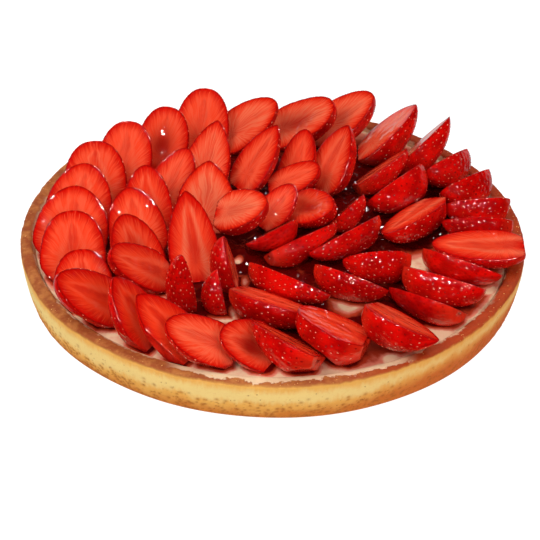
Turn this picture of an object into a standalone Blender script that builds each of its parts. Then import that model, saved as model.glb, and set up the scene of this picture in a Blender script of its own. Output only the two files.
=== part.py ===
# A round strawberry tart: a baked crust, a layer of cream, and fifty-eight
# cut strawberries standing in three rings. Everything is worked in
# millimetres about the middle of the foot, +Z up, and made in metres.
import math

import bmesh
import bpy
import numpy as np

METRES = 0.001
GAP = 0.3

# The crust
RIM_RADIUS = 120.0
FOOT_RADIUS = 116.8
CRUST_HEIGHT = 21.5
RIM_WIDTH = 6.5
FLOOR_THICKNESS = 5.0
FLOOR_RADIUS = 108.0
FOOT_ROUNDING = 1.0
RIM_ROUNDING = 1.0
TURNS = 96
PLAN_WAVES = ((3, 0.45, 0.6), (5, 0.30, 2.1), (11, 0.18, 4.0))
RIM_WAVES = ((1, 0.60, 0.2), (2, 0.20, 1.0), (7, 0.22, 3.3), (13, 0.12, 0.4))

# The cream
CREAM_LEVEL = 18.5

# The strawberries, standing in the cream
SUNK = 2.0
WIDEST_AT = 0.3
STEM_END_NARROWING = 0.42
STATIONS = (0.0, 0.1, 0.28, 0.5, 0.68, 0.83, 0.94, 1.0)
POINTS_ROUND = 8
ROUND = 0.42
OVAL = 0.56
POINTED = 0.76
RIM_CLEARANCE = 1.1
NEIGHBOUR_REACH = 60.0
SEARCH_DIRECTIONS = 900
CUT_LEANS = (0, 15, 30, 45, 60, 75)
MOST_RIM_CUTS = 24
SHARP_ANGLE = math.radians(40)

# Where each strawberry stands. Its row gives the place of its middle, the way
# its cut face looks (turned from +X, then leaned up from level), how far its
# tip is turned from upright within that face, its length, width and depth,
# the shape of its tip, and how far it is lifted by what it leans on.
OUTER_RING = (
    (-37, 83, 255, 40, -5, 35, 29, 10, ROUND, 0),
    (-56, 65, 255, 40, 0, 34, 28, 10, ROUND, 0),
    (-74, 51, 255, 45, -5, 34, 29, 10, ROUND, 0),
    (-87, 29, 260, 40, -10, 34, 32, 10, ROUND, 0),
    (-92, 7, 265, 45, 5, 36, 33, 9, OVAL, 0),
    (-94, -13, 265, 50, 0, 37, 36, 9, OVAL, 0),
    (-92, -31, 270, 50, -5, 34, 31, 9, ROUND, 0),
    (-85, -56, 280, 50, 0, 29, 28, 9, ROUND, 0),
    (-79, -76, 330, 35, -40, 41, 24, 14, OVAL, 0),
    (-59, -88, 330, 30, -10, 37, 25, 12, POINTED, 0),
    (-44, -97, 320, 40, -20, 39, 25, 10, POINTED, 0),
    (-30, -102, 325, 55, -35, 34, 25, 11, OVAL, 1),
    (-8, -100, 330, 55, -40, 30, 27, 8, OVAL, 0),
    (7, -100, 45, 55, 75, 36, 26, 13, POINTED, 1),
    (28, -92, 35, 65, 55, 34, 32, 16, ROUND, 0),
    (59, -91, 40, 60, -110, 35, 28, 15, POINTED, 5),
    (70, -61, 60, 50, 100, 38, 26, 11, OVAL, 0),
    (80, -49, 65, 50, -90, 38, 26, 13, ROUND, 0),
    (90, -32, 60, 50, -90, 38, 25, 12, OVAL, 0),
    (96, -24, 270, 90, -90, 43, 27, 10, OVAL, 6),
    (97, 0, 90, 45, 85, 33, 24, 11, OVAL, 1),
    (98, 17, 100, 45, 80, 32, 24, 12, ROUND, 0),
    (92, 33, 130, 40, 65, 33, 25, 13, OVAL, 0),
    (83, 51, 135, 40, 65, 34, 25, 13, OVAL, 0),
    (74, 66, 155, 40, -30, 38, 25, 13, POINTED, 0),
    (57, 75, 175, 45, -5, 40, 29, 14, POINTED, 0),
    (35, 90, 205, 45, 25, 40, 29, 13, OVAL, 0),
    (13, 84, 210, 45, 40, 42, 27, 14, ROUND, 0),
    (-14, 84, 220, 45, 30, 38, 27, 11, OVAL, 0),
)
MIDDLE_RING = (
    (-32, 44, 250, 40, 0, 37, 24, 10, POINTED, 2),
    (-8, 44, 225, 40, 5, 37, 22, 11, POINTED, 2),
    (11, 45, 235, 35, -5, 32, 20, 10, OVAL, 2),
    (29, 43, 215, 30, 0, 36, 25, 13, POINTED, 2),
    (53, 46, 150, 50, -55, 33, 21, 10, OVAL, 2),
    (58, 29, 140, 35, 90, 37, 24, 14, ROUND, 2),
    (66, 3, 140, 65, 85, 44, 24, 13, OVAL, 1),
    (48, -34, 95, 35, 85, 31, 25, 11, OVAL, 0),
    (38, -49, 60, 45, -85, 36, 24, 11, OVAL, 0),
    (2, -70, 60, 65, -90, 40, 24, 13, ROUND, 1),
    (-22, -61, 10, 10, 0, 23, 17, 10, POINTED, 0),
    (-38, -62, 30, 10, -10, 33, 19, 10, OVAL, 0),
    (-59, -49, 335, 40, -40, 36, 22, 11, ROUND, 1),
    (-61, -38, 305, 35, -5, 34, 26, 12, OVAL, 1),
    (-64, -13, 275, 50, -10, 36, 28, 9, OVAL, 1),
    (-60, 8, 265, 45, -10, 34, 24, 9, OVAL, 1),
    (-49, 27, 255, 45, 15, 34, 22, 9, OVAL, 1),
    (-32, 10, 265, 40, 0, 35, 29, 10, POINTED, 1),
    (10, 33, 215, 50, 35, 29, 19, 10, ROUND, 2),
)
INNER_RING = (
    (-37, -29, 285, 40, 0, 43, 24, 10, POINTED, 0),
    (-15, -4, 210, 55, 45, 29, 24, 13, OVAL, 6),
    (2, 7, 230, 50, 10, 26, 19, 9, OVAL, 3),
    (18, 6, 195, 50, 55, 33, 21, 12, OVAL, 2),
    (-3, -9, 135, 50, 85, 31, 19, 12, POINTED, 1),
    (35, 9, 150, 40, -45, 22, 17, 10, OVAL, 2),
    (32, -15, 135, 45, 85, 44, 24, 12, OVAL, 1),
    (14, -16, 130, 45, -80, 39, 20, 11, OVAL, 1),
    (10, -51, 55, 45, -80, 45, 21, 11, OVAL, 0),
    (-18, -44, 0, 15, 0, 29, 18, 11, OVAL, 0),
)
RINGS = (("outer", OUTER_RING), ("middle", MIDDLE_RING), ("inner", INNER_RING))

CRUST_COLOUR = (0.72, 0.42, 0.14)
CREAM_COLOUR = (0.90, 0.66, 0.45)
STRAWBERRY_COLOUR = (0.62, 0.02, 0.01)


def clear_scene():
    for thing in list(bpy.data.objects):
        bpy.data.objects.remove(thing, do_unlink=True)


def material(name, colour, roughness):
    made = bpy.data.materials.new(name)
    made.use_nodes = True
    shader = made.node_tree.nodes["Principled BSDF"]
    shader.inputs["Base Color"].default_value = (*colour, 1.0)
    shader.inputs["Roughness"].default_value = roughness
    shader.inputs["Metallic"].default_value = 0.0
    return made


def add_object(name, shape, middle, colour, roughness):
    # The mesh is kept about its own middle, and the object is placed there.
    for vert in shape.verts:
        vert.co = [(value - about) * METRES for value, about in zip(vert.co, middle)]
    bmesh.ops.recalc_face_normals(shape, faces=shape.faces)
    mesh = bpy.data.meshes.new(name)
    shape.to_mesh(mesh)
    shape.free()
    mesh.materials.append(material(name, colour, roughness))
    mesh.shade_smooth()
    mesh.set_sharp_from_angle(angle=SHARP_ANGLE)
    thing = bpy.data.objects.new(name, mesh)
    thing.location = [value * METRES for value in middle]
    bpy.context.collection.objects.link(thing)
    return thing


def waves(angle, terms):
    return sum(size * math.sin(count * angle + phase) for count, size, phase in terms)


def turned_body(profile):
    # profile: rows of (radius, height, share of the plan waves, share of the
    # rim waves) from the middle of the underside round to the middle on top.
    shape = bmesh.new()
    rings = []
    for radius, height, plan, rim in profile[1:-1]:
        ring = []
        for step in range(TURNS):
            angle = 2 * math.pi * step / TURNS
            reach = radius + plan * waves(angle, PLAN_WAVES)
            level = height + rim * waves(angle, RIM_WAVES)
            ring.append(shape.verts.new((reach * math.cos(angle), reach * math.sin(angle), level)))
        rings.append(ring)
    under = shape.verts.new((0, 0, profile[0][1]))
    over = shape.verts.new((0, 0, profile[-1][1]))
    for step in range(TURNS):
        after = (step + 1) % TURNS
        shape.faces.new((under, rings[0][after], rings[0][step]))
        shape.faces.new((over, rings[-1][step], rings[-1][after]))
        for low, high in zip(rings, rings[1:]):
            shape.faces.new((low[step], low[after], high[after], high[step]))
    return shape


def inner_wall_radius(height):
    # The inside of the wall leans out from the floor to the rim.
    top = CRUST_HEIGHT - RIM_ROUNDING
    share = (height - FLOOR_THICKNESS) / (top - FLOOR_THICKNESS)
    return FLOOR_RADIUS + share * (RIM_RADIUS - RIM_WIDTH - FLOOR_RADIUS)


def make_crust():
    flare = RIM_RADIUS - FOOT_RADIUS
    inside = RIM_RADIUS - RIM_WIDTH
    profile = (
        (0, 0, 0, 0),
        (FOOT_RADIUS - FOOT_ROUNDING, 0, 0.6, 0),
        (FOOT_RADIUS, FOOT_ROUNDING, 0.7, 0),
        (FOOT_RADIUS + 0.50 * flare, 0.33 * CRUST_HEIGHT, 0.8, 0),
        (FOOT_RADIUS + 0.82 * flare, 0.66 * CRUST_HEIGHT, 0.9, 0),
        (RIM_RADIUS, CRUST_HEIGHT - 1.6 * RIM_ROUNDING, 1, 0.6),
        (RIM_RADIUS - 0.6 * RIM_ROUNDING, CRUST_HEIGHT - 0.4 * RIM_ROUNDING, 1, 1),
        (RIM_RADIUS - 2 * RIM_ROUNDING, CRUST_HEIGHT, 1, 1),
        (inside + 1.4 * RIM_ROUNDING, CRUST_HEIGHT - 0.1 * RIM_ROUNDING, 0, 1),
        (inside, CRUST_HEIGHT - RIM_ROUNDING, 0, 0.4),
        (FLOOR_RADIUS, FLOOR_THICKNESS, 0, 0),
        (0, FLOOR_THICKNESS, 0, 0),
    )
    add_object("crust", turned_body(profile), (0, 0, 0), CRUST_COLOUR, 0.75)


def make_cream():
    bottom = FLOOR_THICKNESS + GAP
    profile = (
        (0, bottom, 0, 0),
        (inner_wall_radius(bottom) - GAP, bottom, 0, 0),
        (inner_wall_radius(CREAM_LEVEL) - GAP, CREAM_LEVEL, 0, 0),
        (0, CREAM_LEVEL, 0, 0),
    )
    add_object("cream", turned_body(profile), (0, 0, 0), CREAM_COLOUR, 0.45)


def face_directions(facing, lean, spin):
    # Along the berry to its tip, across its cut face, and out of that face.
    facing, lean, spin = (math.radians(value) for value in (facing, lean, spin))
    out = np.array((math.cos(lean) * math.cos(facing), math.cos(lean) * math.sin(facing), math.sin(lean)))
    up = np.array((-math.cos(facing) * math.sin(lean), -math.sin(facing) * math.sin(lean), math.cos(lean)))
    right = np.cross(up, out)
    along = math.cos(spin) * up + math.sin(spin) * right
    return along, np.cross(out, along), out


def outline_share(station, tip):
    # The half width at a station from the stem end (0) to the tip (1).
    if station < WIDEST_AT:
        return 1 - STEM_END_NARROWING * ((WIDEST_AT - station) / WIDEST_AT) ** 2.2
    return max(0.0, 1 - ((station - WIDEST_AT) / (1 - WIDEST_AT)) ** 2.1) ** tip


def half_berry(row):
    # A berry cut along its core: half rings of points behind the flat face.
    x, y, facing, lean, spin, length, width, depth, tip, lift = row
    along, across, out = face_directions(facing, lean, spin)
    points = []
    for station in STATIONS:
        share = outline_share(station, tip)
        for step in range(POINTS_ROUND):
            angle = math.pi * step / (POINTS_ROUND - 1)
            points.append((station - 0.5) * length * along
                          - 0.5 * width * share * math.cos(angle) * across
                          - depth * share * math.sin(angle) * out)
    points = np.array(points)
    lowest = points[:, 2].min()
    points += (x, y, CREAM_LEVEL - SUNK + lift - lowest)
    return points


def hull(points):
    shape = bmesh.new()
    for point in points:
        shape.verts.new(point)
    bmesh.ops.remove_doubles(shape, verts=shape.verts, dist=0.02)
    bmesh.ops.convex_hull(shape, input=shape.verts)
    unused = [vert for vert in shape.verts if not vert.link_faces]
    bmesh.ops.delete(shape, geom=unused, context="VERTS")
    return shape


def keep_below(points, place, direction):
    # What is left of a rounded-out body on the near side of a plane.
    shape = hull(points)
    parts = list(shape.verts) + list(shape.edges) + list(shape.faces)
    bmesh.ops.bisect_plane(shape, geom=parts, dist=0.0001, plane_co=place, plane_no=direction, clear_outer=True)
    left = np.array([vert.co[:] for vert in shape.verts])
    shape.free()
    return left


def even_directions(count):
    # Directions spread evenly over a sphere, along a spiral.
    golden = math.pi * (1 + math.sqrt(5))
    spread = []
    for index in range(count):
        level = 1 - 2 * (index + 0.5) / count
        level_radius = math.sqrt(1 - level * level)
        turn = golden * (index + 0.5)
        spread.append((level_radius * math.cos(turn), level_radius * math.sin(turn), level))
    return spread


def part_two(first, second, ways):
    # Two berries that would cross are trimmed to a plane between them, square
    # to the way in which they cross least.
    reach = (ways @ first.T).max(axis=1)
    start = (ways @ second.T).min(axis=1)
    crossing = reach - start
    best = int(crossing.argmin())
    if crossing[best] <= -GAP:
        return first, second
    way = ways[best]
    middle = 0.5 * (reach[best] + start[best])
    first = keep_below(first, way * (middle - 0.5 * GAP), way)
    second = keep_below(second, way * (middle + 0.5 * GAP), -way)
    return first, second


def wall_crossing(points):
    # The point that reaches furthest into the crust's wall, and how far.
    rim_level = CRUST_HEIGHT + RIM_CLEARANCE
    limit = RIM_RADIUS - RIM_WIDTH - 2 * GAP
    shape = hull(points)
    worst, where = 0.0, None
    for edge in shape.edges:
        low, high = sorted((vert.co for vert in edge.verts), key=lambda place: place.z)
        if low.z >= rim_level:
            continue
        ends = [low, high] if high.z < rim_level else [low, low.lerp(high, (rim_level - low.z) / (high.z - low.z))]
        for place in ends:
            wall = min(limit, inner_wall_radius(place.z) - 2 * GAP)
            into = math.hypot(place.x, place.y) - wall
            if into > worst:
                worst, where = into, place.copy()
    shape.free()
    return worst, where


def clear_wall(points):
    # The berry is trimmed along planes over the rim's inner edge, each leaned
    # so that it takes off least.
    rim_level = CRUST_HEIGHT + RIM_CLEARANCE
    limit = RIM_RADIUS - RIM_WIDTH - 2 * GAP
    for _ in range(MOST_RIM_CUTS):
        worst, where = wall_crossing(points)
        if worst < 0.05:
            break
        around = math.atan2(where.y, where.x)
        outward = np.array((math.cos(around), math.sin(around), 0.0))
        edge = outward * limit + (0, 0, rim_level)
        best = None
        for lean in CUT_LEANS:
            tilt = math.radians(lean)
            way = math.cos(tilt) * outward - math.sin(tilt) * np.array((0.0, 0.0, 1.0))
            removed = float(((points - edge) @ way).clip(0).sum())
            into = float(np.dot(np.array(where) - edge, way))
            if into > 0.02 and (best is None or removed < best[0]):
                best = (removed, way)
        if best is None:
            at_wall = outward * (math.hypot(where.x, where.y) - worst) + (0, 0, where.z)
            points = keep_below(points, at_wall, outward)
        else:
            points = keep_below(points, edge, best[1])
    return points


def make_strawberries():
    names, bodies, faces = [], [], []
    for ring, rows in RINGS:
        for number, row in enumerate(rows, 1):
            names.append(f"strawberry_{ring}_{number:02d}")
            body = half_berry(row)
            body = keep_below(body, (0, 0, CREAM_LEVEL + GAP), (0, 0, -1))
            bodies.append(clear_wall(body))
            faces.append(face_directions(*row[2:5])[2])
    spread = even_directions(SEARCH_DIRECTIONS)
    for one in range(len(bodies)):
        for other in range(one + 1, len(bodies)):
            apart = np.linalg.norm(bodies[one].mean(axis=0) - bodies[other].mean(axis=0))
            if apart > NEIGHBOUR_REACH:
                continue
            ways = np.array(spread + [faces[one], -faces[one], faces[other], -faces[other]])
            bodies[one], bodies[other] = part_two(bodies[one], bodies[other], ways)
    for name, body in zip(names, bodies):
        middle = (body.max(axis=0) + body.min(axis=0)) / 2
        add_object(name, hull(body), middle.tolist(), STRAWBERRY_COLOUR, 0.25)


clear_scene()
make_crust()
make_cream()
make_strawberries()
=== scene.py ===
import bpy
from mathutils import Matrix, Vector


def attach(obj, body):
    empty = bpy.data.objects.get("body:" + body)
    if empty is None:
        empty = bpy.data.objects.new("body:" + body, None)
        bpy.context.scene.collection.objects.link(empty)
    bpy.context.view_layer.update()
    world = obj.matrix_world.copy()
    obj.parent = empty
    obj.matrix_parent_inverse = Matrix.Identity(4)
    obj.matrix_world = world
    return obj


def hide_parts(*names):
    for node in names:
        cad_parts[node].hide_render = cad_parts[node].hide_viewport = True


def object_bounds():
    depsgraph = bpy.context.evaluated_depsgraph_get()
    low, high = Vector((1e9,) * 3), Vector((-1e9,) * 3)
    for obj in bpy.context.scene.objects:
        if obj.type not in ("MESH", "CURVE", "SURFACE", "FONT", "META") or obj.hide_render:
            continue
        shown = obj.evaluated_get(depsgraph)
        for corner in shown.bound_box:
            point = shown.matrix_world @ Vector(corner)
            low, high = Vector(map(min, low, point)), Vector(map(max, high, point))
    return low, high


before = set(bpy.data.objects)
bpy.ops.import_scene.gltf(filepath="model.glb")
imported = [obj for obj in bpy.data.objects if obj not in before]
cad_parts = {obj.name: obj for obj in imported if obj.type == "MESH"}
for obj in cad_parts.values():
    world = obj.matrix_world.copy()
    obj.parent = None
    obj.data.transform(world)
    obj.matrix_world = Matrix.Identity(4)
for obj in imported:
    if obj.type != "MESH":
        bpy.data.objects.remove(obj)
cadBox = [list(corner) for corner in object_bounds()]

import math

import bmesh
import bpy
import numpy as np
from mathutils import Matrix, Vector, noise

mm = 0.001


# Shared helpers for shaders, meshes and node trees
def addObject(name, data):
    thing = bpy.data.objects.new(name, data)
    bpy.context.scene.collection.objects.link(thing)
    return thing


def ringFaces(rings, size):
    # Four-sided faces between each ring of points and the next.
    faces = []
    for start in range(0, (rings - 1) * size, size):
        for k in range(size):
            after = (k + 1) % size
            faces.append((start + k, start + after, start + size + after, start + size + k))
    return faces


def meshObject(name, points, faces, materials, smooth=True):
    mesh = bpy.data.meshes.new(name)
    mesh.from_pydata(np.asarray(points, dtype=float).tolist(), [], faces)
    mesh.validate()
    for entry in materials:
        mesh.materials.append(entry)
    if smooth:
        mesh.shade_smooth()
    else:
        mesh.shade_flat()
    return addObject(name, mesh)


def addAttribute(mesh, name, values):
    layer = mesh.attributes.new(name, "FLOAT", "POINT")
    layer.data.foreach_set("value", np.asarray(values, dtype=np.float32))


def vertexUv(mesh, name, perVertex):
    # A UV map written from one pair of numbers for each vertex.
    layer = mesh.uv_layers.new(name=name)
    corner = np.zeros(len(mesh.loops), dtype=np.int32)
    mesh.loops.foreach_get("vertex_index", corner)
    layer.data.foreach_set("uv", np.asarray(perVertex, dtype=np.float32)[corner].ravel())


def addNode(tree, kind, inputs=(), **settings):
    made = tree.nodes.new(kind)
    for key, value in settings.items():
        setattr(made, key, value)
    for key, value in dict(inputs).items():
        if isinstance(value, bpy.types.NodeSocket):
            tree.links.new(value, made.inputs[key])
        else:
            made.inputs[key].default_value = value
    return made


class Shader:
    # A short way to wire a Principled material.
    def __init__(self, name):
        self.material = bpy.data.materials.new(name)
        self.material.use_nodes = True
        self.tree = self.material.node_tree
        self.surface = self.tree.nodes["Principled BSDF"]

    def set(self, **sockets):
        for key, value in sockets.items():
            socket = self.surface.inputs[key.replace("_", " ")]
            if isinstance(value, bpy.types.NodeSocket):
                self.tree.links.new(value, socket)
            else:
                socket.default_value = value

    def node(self, kind, inputs=(), **settings):
        return addNode(self.tree, kind, inputs, **settings)

    def math(self, operation, first, second=0.0, clamp=False):
        made = self.node("ShaderNodeMath", {0: first, 1: second}, operation=operation, use_clamp=clamp)
        return made.outputs[0]

    def add(self, first, second, clamp=False):
        return self.math("ADD", first, second, clamp)

    def minus(self, first, second):
        return self.math("SUBTRACT", first, second)

    def times(self, first, second):
        return self.math("MULTIPLY", first, second)

    def attribute(self, name):
        return self.node("ShaderNodeAttribute", attribute_name=name).outputs["Fac"]

    def uv(self, name):
        return self.node("ShaderNodeUVMap", uv_map=name).outputs["UV"]

    def place(self):
        return self.node("ShaderNodeTexCoord").outputs["Object"]

    def split(self, vector):
        made = self.node("ShaderNodeSeparateXYZ", {0: vector})
        return made.outputs[0], made.outputs[1], made.outputs[2]

    def join(self, x=0.0, y=0.0, z=0.0):
        return self.node("ShaderNodeCombineXYZ", {0: x, 1: y, 2: z}).outputs[0]

    def noise(self, vector, scale, detail=2.0, rough=0.5, twist=0.0):
        made = self.node("ShaderNodeTexNoise", {
            "Vector": vector, "Scale": scale, "Detail": detail, "Roughness": rough, "Distortion": twist})
        return made.outputs["Fac"]

    def waver(self, vector, scale, detail, rough):
        # Noise about zero.
        return self.minus(self.noise(vector, scale, detail, rough), 0.5)

    def cells(self, vector, scale, loose):
        made = self.node("ShaderNodeTexVoronoi", {"Vector": vector, "Scale": scale, "Randomness": loose})
        return made.outputs["Distance"]

    def step(self, value, low, high, out0=0.0, out1=1.0):
        inputs = {0: value, 1: low, 2: high, 3: out0, 4: out1}
        return self.node("ShaderNodeMapRange", inputs, interpolation_type="SMOOTHSTEP").outputs[0]

    def mix(self, share, first, second):
        made = self.node("ShaderNodeMix", data_type="RGBA")
        for socket, value in ((made.inputs[0], share), (made.inputs[6], first), (made.inputs[7], second)):
            if isinstance(value, bpy.types.NodeSocket):
                self.tree.links.new(value, socket)
            elif socket.type == "RGBA":
                socket.default_value = (*value[:3], 1.0)
            else:
                socket.default_value = value
        return made.outputs[2]

    def bump(self, height, strength, distance):
        inputs = {"Height": height, "Strength": strength, "Distance": distance}
        return self.node("ShaderNodeBump", inputs).outputs["Normal"]


def fineNoise(points, size, seed):
    # Smooth noise in -1..1 at each point, with lumps of about the given size.
    return np.array([noise.noise(Vector((x / size + seed, y / size, z / size))) for x, y, z in points])


# Where each strawberry stands, in millimetres and degrees, as in part.py
roundTip, ovalTip, pointedTip = 0.42, 0.56, 0.76
berryRows = {  # x, y, facing, lean, spin, length, width, depth, tip shape, lift
    "outer": (
        (-37, 83, 255, 40, -5, 35, 29, 10, roundTip, 0),
        (-56, 65, 255, 40, 0, 34, 28, 10, roundTip, 0),
        (-74, 51, 255, 45, -5, 34, 29, 10, roundTip, 0),
        (-87, 29, 260, 40, -10, 34, 32, 10, roundTip, 0),
        (-92, 7, 265, 45, 5, 36, 33, 9, ovalTip, 0),
        (-94, -13, 265, 50, 0, 37, 36, 9, ovalTip, 0),
        (-92, -31, 270, 50, -5, 34, 31, 9, roundTip, 0),
        (-85, -56, 280, 50, 0, 29, 28, 9, roundTip, 0),
        (-79, -76, 330, 35, -40, 41, 24, 14, ovalTip, 0),
        (-59, -88, 330, 30, -10, 37, 25, 12, pointedTip, 0),
        (-44, -97, 320, 40, -20, 39, 25, 10, pointedTip, 0),
        (-30, -102, 325, 55, -35, 34, 25, 11, ovalTip, 1),
        (-8, -100, 330, 55, -40, 30, 27, 8, ovalTip, 0),
        (7, -100, 45, 55, 75, 36, 26, 13, pointedTip, 1),
        (28, -92, 35, 65, 55, 34, 32, 16, roundTip, 0),
        (59, -91, 40, 60, -110, 35, 28, 15, pointedTip, 5),
        (70, -61, 60, 50, 100, 38, 26, 11, ovalTip, 0),
        (80, -49, 65, 50, -90, 38, 26, 13, roundTip, 0),
        (90, -32, 60, 50, -90, 38, 25, 12, ovalTip, 0),
        (96, -24, 270, 90, -90, 43, 27, 10, ovalTip, 6),
        (97, 0, 90, 45, 85, 33, 24, 11, ovalTip, 1),
        (98, 17, 100, 45, 80, 32, 24, 12, roundTip, 0),
        (92, 33, 130, 40, 65, 33, 25, 13, ovalTip, 0),
        (83, 51, 135, 40, 65, 34, 25, 13, ovalTip, 0),
        (74, 66, 155, 40, -30, 38, 25, 13, pointedTip, 0),
        (57, 75, 175, 45, -5, 40, 29, 14, pointedTip, 0),
        (35, 90, 205, 45, 25, 40, 29, 13, ovalTip, 0),
        (13, 84, 210, 45, 40, 42, 27, 14, roundTip, 0),
        (-14, 84, 220, 45, 30, 38, 27, 11, ovalTip, 0),
    ),
    "middle": (
        (-32, 44, 250, 40, 0, 37, 24, 10, pointedTip, 2),
        (-8, 44, 225, 40, 5, 37, 22, 11, pointedTip, 2),
        (11, 45, 235, 35, -5, 32, 20, 10, ovalTip, 2),
        (29, 43, 215, 30, 0, 36, 25, 13, pointedTip, 2),
        (53, 46, 150, 50, -55, 33, 21, 10, ovalTip, 2),
        (58, 29, 140, 35, 90, 37, 24, 14, roundTip, 2),
        (66, 3, 140, 65, 85, 44, 24, 13, ovalTip, 1),
        (48, -34, 95, 35, 85, 31, 25, 11, ovalTip, 0),
        (38, -49, 60, 45, -85, 36, 24, 11, ovalTip, 0),
        (2, -70, 60, 65, -90, 40, 24, 13, roundTip, 1),
        (-22, -61, 10, 10, 0, 23, 17, 10, pointedTip, 0),
        (-38, -62, 30, 10, -10, 33, 19, 10, ovalTip, 0),
        (-59, -49, 335, 40, -40, 36, 22, 11, roundTip, 1),
        (-61, -38, 305, 35, -5, 34, 26, 12, ovalTip, 1),
        (-64, -13, 275, 50, -10, 36, 28, 9, ovalTip, 1),
        (-60, 8, 265, 45, -10, 34, 24, 9, ovalTip, 1),
        (-49, 27, 255, 45, 15, 34, 22, 9, ovalTip, 1),
        (-32, 10, 265, 40, 0, 35, 29, 10, pointedTip, 1),
        (10, 33, 215, 50, 35, 29, 19, 10, roundTip, 2),
    ),
    "inner": (
        (-37, -29, 285, 40, 0, 43, 24, 10, pointedTip, 0),
        (-15, -4, 210, 55, 45, 29, 24, 13, ovalTip, 6),
        (2, 7, 230, 50, 10, 26, 19, 9, ovalTip, 3),
        (18, 6, 195, 50, 55, 33, 21, 12, ovalTip, 2),
        (-3, -9, 135, 50, 85, 31, 19, 12, pointedTip, 1),
        (35, 9, 150, 40, -45, 22, 17, 10, ovalTip, 2),
        (32, -15, 135, 45, 85, 44, 24, 12, ovalTip, 1),
        (14, -16, 130, 45, -80, 39, 20, 11, ovalTip, 1),
        (10, -51, 55, 45, -80, 45, 21, 11, ovalTip, 0),
        (-18, -44, 0, 15, 0, 29, 18, 11, ovalTip, 0),
    ),
}
berryShape = {
    "creamLevel": 18.5,
    "sunk": 2.0,
    "widestAt": 0.3,
    "stemEndNarrowing": 0.42,
    "solidStations": (0.0, 0.1, 0.28, 0.5, 0.68, 0.83, 0.94, 1.0),
    "solidSteps": 8,
    "stations": 60,
    "stemRings": (0.25, 0.6, 0.86),
    "skinSteps": 60,
    "faceSteps": 28,
    "edgeRounding": 0.35,
    "unevenness": 0.03,
    "dimpleDepth": 0.32,
    "dimpleReach": 0.8,
    "seedRow": 2.9,
    "seedsAround": 11,
    "seedJitter": 0.24,
    "ridgeDepth": 0.18,
    "ridgeReach": 0.8,
    "cutMargin": 0.05,
    "sameWay": 0.985,
    "seedMargin": 0.3,
}
# How each cut face looks: strength of the pale bands, paleness of the flesh,
# depth of the hollow in millimetres, which also sets the painted shade in the hollow.
faceLooks = {
    "outer_01": (0.45, 0.35, 0.0), "outer_02": (0.4, 0.35, 2.2), "outer_03": (0.55, 0.4, 0.0),
    "outer_04": (0.8, 0.35, 0.5), "outer_05": (0.7, 0.35, 0.4), "outer_06": (0.6, 0.4, 0.6),
    "outer_07": (0.5, 0.3, 0.5), "outer_08": (0.6, 0.35, 0.5), "outer_09": (0.35, 0.1, 0.0),
    "outer_10": (0.3, 0.05, 0.0), "outer_11": (0.3, 0.1, 0.0), "outer_12": (0.7, 0.5, 0.0),
    "outer_13": (0.6, 0.35, 3.5), "outer_14": (0.3, 0.1, 0.0), "outer_15": (0.4, 0.15, 0.0),
    "outer_20": (0.8, 0.25, 0.5), "outer_25": (0.8, 0.7, 0.3), "outer_26": (0.9, 0.7, 0.3),
    "outer_27": (1.0, 0.75, 0.6), "outer_28": (1.0, 0.8, 1.8), "outer_29": (0.8, 0.75, 0.3),
    "middle_01": (0.7, 0.7, 0.0), "middle_02": (0.6, 0.4, 0.0), "middle_03": (0.5, 0.35, 0.0),
    "middle_04": (0.7, 0.45, 0.0), "middle_07": (0.9, 0.3, 0.0), "middle_13": (0.5, 0.2, 0.0),
    "middle_14": (0.6, 0.25, 1.6), "middle_15": (0.7, 0.35, 0.0), "middle_16": (0.6, 0.2, 0.5),
    "middle_17": (0.6, 0.45, 0.0), "middle_18": (1.0, 0.85, 0.6), "middle_19": (0.6, 0.55, 0.0),
    "inner_01": (1.0, 0.25, 0.4), "inner_02": (1.0, 0.9, 0.5), "inner_03": (0.6, 0.5, 0.0),
    "inner_04": (0.5, 0.3, 1.8),
}
plainLook = (0.6, 0.3, 0.0)


def berryWays(facing, lean, spin):
    # Along the berry to its tip, across its cut face, and out of that face.
    facing, lean, spin = (math.radians(value) for value in (facing, lean, spin))
    out = np.array((math.cos(lean) * math.cos(facing), math.cos(lean) * math.sin(facing), math.sin(lean)))
    up = np.array((-math.cos(facing) * math.sin(lean), -math.sin(facing) * math.sin(lean), math.cos(lean)))
    along = math.cos(spin) * up + math.sin(spin) * np.cross(up, out)
    return along, np.cross(out, along), out


def halfWidth(station, tip):
    # Share of the widest half width at a station from the stem end (0) to the tip (1).
    widest = berryShape["widestAt"]
    if station < widest:
        return 1 - berryShape["stemEndNarrowing"] * ((widest - station) / widest) ** 2.2
    return max(0.0, 1 - ((station - widest) / (1 - widest)) ** 2.1) ** tip


def bulge(station, angle, index):
    # How much wider the berry's own unevenness makes it at one place.
    spot = Vector((2.2 * station + 7.3 * index, 1.4 * math.cos(angle), 1.4 * math.sin(angle)))
    return berryShape["unevenness"] * noise.noise(spot)


def coarseBerry(row, middle=0.0):
    # The berry's points at the solid's own steps, before anything trims it.
    along, across, out = berryWays(*row[2:5])
    length, width, depth, tip = row[5:9]
    points = []
    for station in berryShape["solidStations"]:
        share = halfWidth(station, tip)
        for step in range(berryShape["solidSteps"]):
            angle = math.pi * step / (berryShape["solidSteps"] - 1)
            side, deep = 0.5 * width * share * math.cos(angle), depth * share * math.sin(angle)
            points.append(middle + (station - 0.5) * length * along - side * across - deep * out)
    return np.array(points)


def berryMiddle(row):
    # The middle of the cut face, at the height that the berry's lowest point sets.
    lowest = berryShape["creamLevel"] - berryShape["sunk"] + row[9]
    return np.array((row[0], row[1], lowest - coarseBerry(row)[:, 2].min()))


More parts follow.
